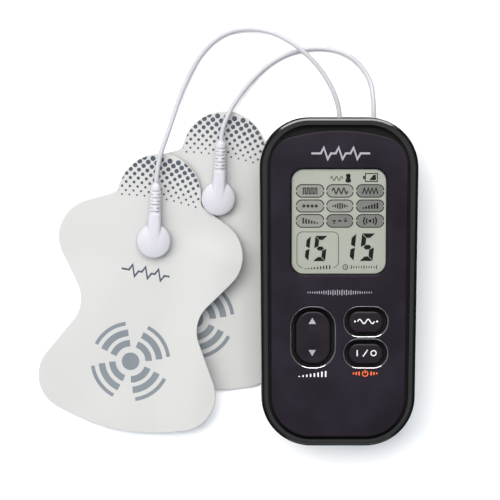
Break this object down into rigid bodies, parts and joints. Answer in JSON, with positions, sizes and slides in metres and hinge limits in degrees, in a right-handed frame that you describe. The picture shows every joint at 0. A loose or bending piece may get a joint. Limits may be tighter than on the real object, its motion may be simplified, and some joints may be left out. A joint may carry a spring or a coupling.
{
  "type": "tens unit",
  "caption": "Pocket TENS pulse unit with display, rocker and two keys, battery bay, plug-in lead pair, snap connectors and two hourglass gel pads.",
  "frame": {"origin": "middle of the flat back that the pocket unit rests on, at the table's top", "axes": "+Z out of the unit's face, +Y towards its top end, where the leads plug in, +X to its right"},
  "size_m": [0.1317, 0.1431, 0.0252],
  "materials": {
    "case_black": "polished black ABS",
    "back_black": "fine spark-eroded texture",
    "panel_print": "dark aubergine satin gloss",
    "key_dark": "satin gloss",
    "window_clear": "clear hard-coated acrylic",
    "lcd": "reflective grey-green LCD",
    "gasket_foam": "black foam tape",
    "lcd_tray": "white moulding",
    "zebra": "pink-grey elastomer",
    "board": "green solder mask",
    "chip": "moulded epoxy",
    "ferrite": "sintered ferrite and wound copper",
    "capacitor": "sleeved can",
    "crystal": "drawn can",
    "switch": "moulded",
    "plunger": "moulded",
    "screw": "zinc plated",
    "cell": "printed sleeve on steel can, mean density of a dry cell",
    "contact": "nickel plated",
    "brass": "gold flashed",
    "jack": "moulded",
    "snap_white": "white ABS with a lavender tint",
    "lead_white": "soft white PVC",
    "boot_white": "soft white PVC",
    "pad_cover": "white foam-backed nonwoven",
    "carbon": "carbon-loaded film",
    "gel": "clear sticky hydrogel"
  },
  "bodies": {
    "main_unit": {"back_shell": "back_black", "battery_cell_left": "cell", "battery_cell_right": "cell", "battery_contact_plates": "contact", "battery_springs": "contact", "board_screws": "screw", "boost_inductor": "ferrite", "case_screws": "screw", "display_gasket": "gasket_foam", "display_window": "window_clear", "face_panel": "panel_print", "front_shell": "case_black", "jack_contacts": "brass", "jack_housing": "jack", "lcd_frame": "lcd_tray", "lcd_glass": "lcd", "lcd_zebra_strips": "zebra", "main_circuit_board": "board", "microcontroller": "chip", "output_transformer": "ferrite", "quartz_crystal": "crystal", "smd_parts": "chip", "storage_capacitors": "capacitor", "switch_bodies": "switch"},
    "intensity_rocker": {"intensity_key": "key_dark", "intensity_plungers": "plunger"},
    "mode_button": {"mode_key": "key_dark", "mode_plunger": "plunger"},
    "power_button": {"power_key": "key_dark", "power_plunger": "plunger"},
    "battery_door": {"battery_cover": "back_black"},
    "electrode_cord": {"plug_body": "snap_white", "plug_pins": "brass", "plug_strain_reliefs": "boot_white", "lead_a": "lead_white", "lead_b": "lead_white", "pad_a_conductor": "carbon", "pad_a_gel": "gel", "pad_a_stud": "contact", "pad_a_stud_base": "contact", "pad_a_top_sheet": "pad_cover", "pad_b_conductor": "carbon", "pad_b_gel": "gel", "pad_b_stud": "contact", "pad_b_stud_base": "contact", "pad_b_top_sheet": "pad_cover"},
    "connector_a": {"connector_a_base_cover": "snap_white", "connector_a_housing": "snap_white", "connector_a_snap_socket": "contact", "connector_a_socket_spring": "contact", "connector_a_strain_relief": "boot_white"},
    "connector_b": {"connector_b_base_cover": "snap_white", "connector_b_housing": "snap_white", "connector_b_snap_socket": "contact", "connector_b_socket_spring": "contact", "connector_b_strain_relief": "boot_white"}
  },
  "joints": [
    {"name": "intensity_tilt", "type": "hinge", "parent": "main_unit", "child": "intensity_rocker", "pos_m": [-0.00866, -0.01846, 0.0207], "axis": [1, 0, 0], "range_deg": [-4, 4], "stiffness_Nm_per_rad": 0.13},
    {"name": "mode_press", "type": "slide", "parent": "main_unit", "child": "mode_button", "axis": [0, 0, -1], "range_m": [0, 0.00045], "stiffness_N_per_m": 2000},
    {"name": "power_press", "type": "slide", "parent": "main_unit", "child": "power_button", "axis": [0, 0, -1], "range_m": [0, 0.00045], "stiffness_N_per_m": 2000},
    {"name": "cover_slide", "type": "slide", "parent": "main_unit", "child": "battery_door", "axis": [0, -1, 0], "range_m": [0, 0.052]},
    {"name": "plug_pull", "type": "slide", "parent": "main_unit", "child": "electrode_cord", "axis": [0, 1, 0], "range_m": [0, 0.014]},
    {"name": "connector_a_swivel", "type": "hinge", "parent": "electrode_cord", "child": "connector_a", "pos_m": [-0.06355, 0.0128, 0.0037], "axis": [0, 0, 1], "range_deg": [-20, 20], "deforming": ["lead_a"]},
    {"name": "connector_b_swivel", "type": "hinge", "parent": "electrode_cord", "child": "connector_b", "pos_m": [-0.04105, 0.0275, 0.0018], "axis": [0, 0, 1], "range_deg": [-20, 20], "deforming": ["lead_b"]}
  ]
}
